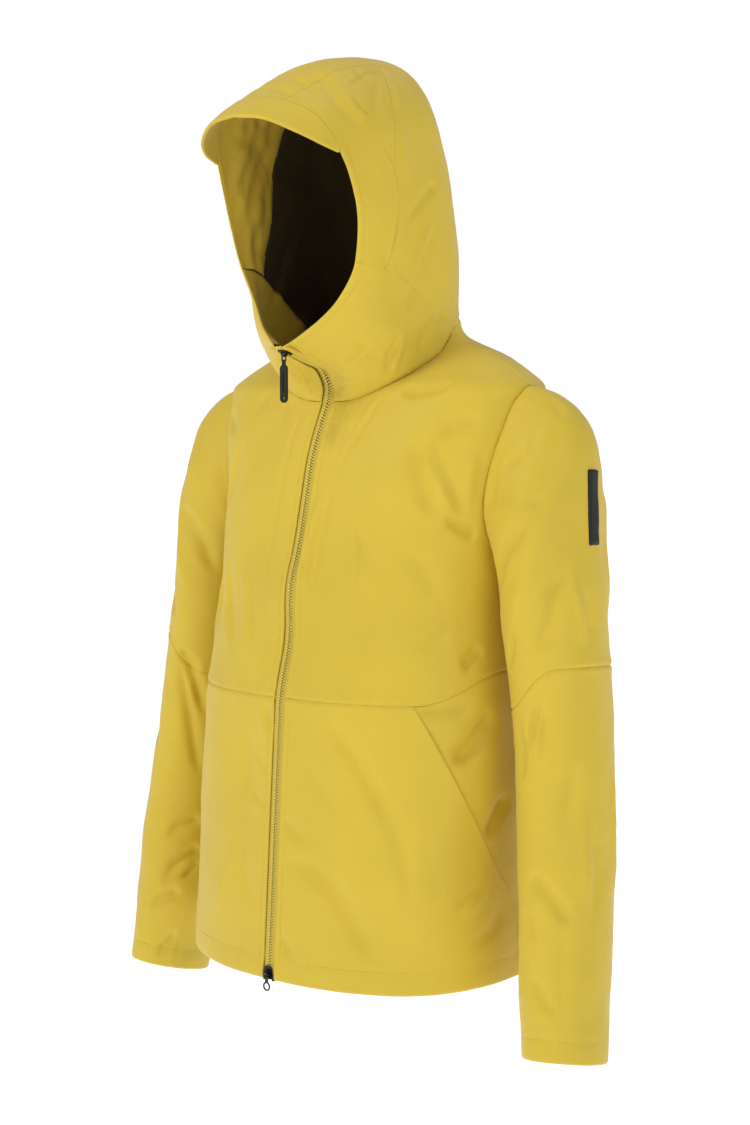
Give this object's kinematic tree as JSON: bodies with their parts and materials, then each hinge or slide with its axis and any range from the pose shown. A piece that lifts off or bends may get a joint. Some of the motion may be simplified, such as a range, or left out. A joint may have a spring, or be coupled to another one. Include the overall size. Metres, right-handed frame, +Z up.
{
  "type": "foul weather jacket",
  "caption": "Hooded foul weather jacket for sailing, shaped as worn: stiffened brim, two-way front zip, slanted hand pockets, waist and elbow seams, turned hem and cuffs.",
  "frame": {"origin": "seat of the hang loop at the centre back of the neck", "axes": "+Z up, +X towards the wearer's left, +Y towards the wearer's back"},
  "size_m": [0.6578, 0.3549, 1.0556],
  "materials": {
    "shell_cloth": "matt coated woven laminate",
    "facing_cloth": "matt coated woven laminate",
    "lining": "matt tricot",
    "webbing": "woven webbing",
    "zip_tape": "woven zip tape",
    "zip_teeth": "moulded acetal",
    "black_rubber": "moulded rubber",
    "black_metal": "black coated zinc",
    "black_plastic": "moulded plastic",
    "stiffener": "flexible plastic sheet"
  },
  "bodies": {
    "torso": {"front_upper_left": "shell_cloth", "front_upper_right": "shell_cloth", "front_lower_left": "shell_cloth", "front_lower_right": "shell_cloth", "side_panel_left": "shell_cloth", "side_panel_right": "shell_cloth", "back_yoke": "shell_cloth", "back_lower": "shell_cloth", "hem_facing": "facing_cloth", "front_lining_left": "lining", "front_lining_right": "lining", "back_lining": "lining", "pocket_bag_left": "lining", "pocket_bag_right": "lining", "storm_flap": "facing_cloth", "collar_left": "shell_cloth", "collar_right": "shell_cloth", "collar_facing_left": "facing_cloth", "collar_facing_right": "facing_cloth", "hang_loop": "webbing", "zip_tape_left": "zip_tape", "zip_tape_right": "zip_tape", "zip_teeth_left": "zip_teeth", "zip_teeth_right": "zip_teeth", "zip_box": "black_plastic", "zip_pin": "black_plastic", "zip_stop_left": "zip_teeth", "zip_stop_right": "zip_teeth"},
    "slider_top": {"slider_top": "black_metal"},
    "pull_top": {"pull_top": "black_rubber"},
    "slider_bottom": {"slider_bottom": "black_metal"},
    "pull_bottom": {"pull_bottom": "black_metal"},
    "hood": {"hood_side_left": "shell_cloth", "hood_side_right": "shell_cloth", "hood_band_left": "shell_cloth", "hood_band_right": "shell_cloth", "hood_center": "shell_cloth", "hood_facing": "facing_cloth", "hood_lining": "lining", "brim_top": "shell_cloth", "brim_core_sheet": "stiffener", "brim_under": "facing_cloth"},
    "sleeve_left": {"sleeve_upper_left": "shell_cloth", "sleeve_lining_upper_left": "lining", "sleeve_patch": "black_rubber"},
    "sleeve_right": {"sleeve_upper_right": "shell_cloth", "sleeve_lining_upper_right": "lining"},
    "forearm_left": {"sleeve_lower_left": "shell_cloth", "cuff_facing_left": "facing_cloth", "sleeve_lining_lower_left": "lining"},
    "forearm_right": {"sleeve_lower_right": "shell_cloth", "cuff_facing_right": "facing_cloth", "sleeve_lining_lower_right": "lining"}
  },
  "joints": [
    {"name": "top_slider_slide", "type": "slide", "parent": "torso", "child": "slider_top", "axis": [0, 0.954, -0.2998], "range_m": [0, 0.034]},
    {"name": "top_pull_swing", "type": "hinge", "parent": "slider_top", "child": "pull_top", "pos_m": [0, -0.20991, -0.05305], "axis": [1, 0, 0], "range_deg": [-80, 22]},
    {"name": "bottom_slider_slide", "type": "slide", "parent": "torso", "child": "slider_bottom", "axis": [0, 0.0657, 0.9978], "range_m": [0, 0.26]},
    {"name": "bottom_pull_swing", "type": "hinge", "parent": "slider_bottom", "child": "pull_bottom", "pos_m": [0, -0.24055, -0.7073], "axis": [1, 0, 0], "range_deg": [-80, 0.5]},
    {"name": "hood_tip_back", "type": "hinge", "parent": "torso", "child": "hood", "pos_m": [0, 0.011, -0.008], "axis": [-1, 0, 0], "range_deg": [0, 30]},
    {"name": "left_arm_raise", "type": "hinge", "parent": "torso", "child": "sleeve_left", "pos_m": [0.2, -0.061, -0.083], "axis": [0, -1, 0], "range_deg": [0, 50]},
    {"name": "right_arm_raise", "type": "hinge", "parent": "torso", "child": "sleeve_right", "pos_m": [-0.2, -0.061, -0.083], "axis": [0, 1, 0], "range_deg": [0, 50]},
    {"name": "left_elbow_bend", "type": "hinge", "parent": "sleeve_left", "child": "forearm_left", "pos_m": [0.2515, -0.12395, -0.397], "axis": [-0.9913, -0.009, -0.1314], "range_deg": [0, 60]},
    {"name": "right_elbow_bend", "type": "hinge", "parent": "sleeve_right", "child": "forearm_right", "pos_m": [-0.2515, -0.12395, -0.397], "axis": [-0.9913, 0.009, 0.1314], "range_deg": [0, 60]}
  ]
}
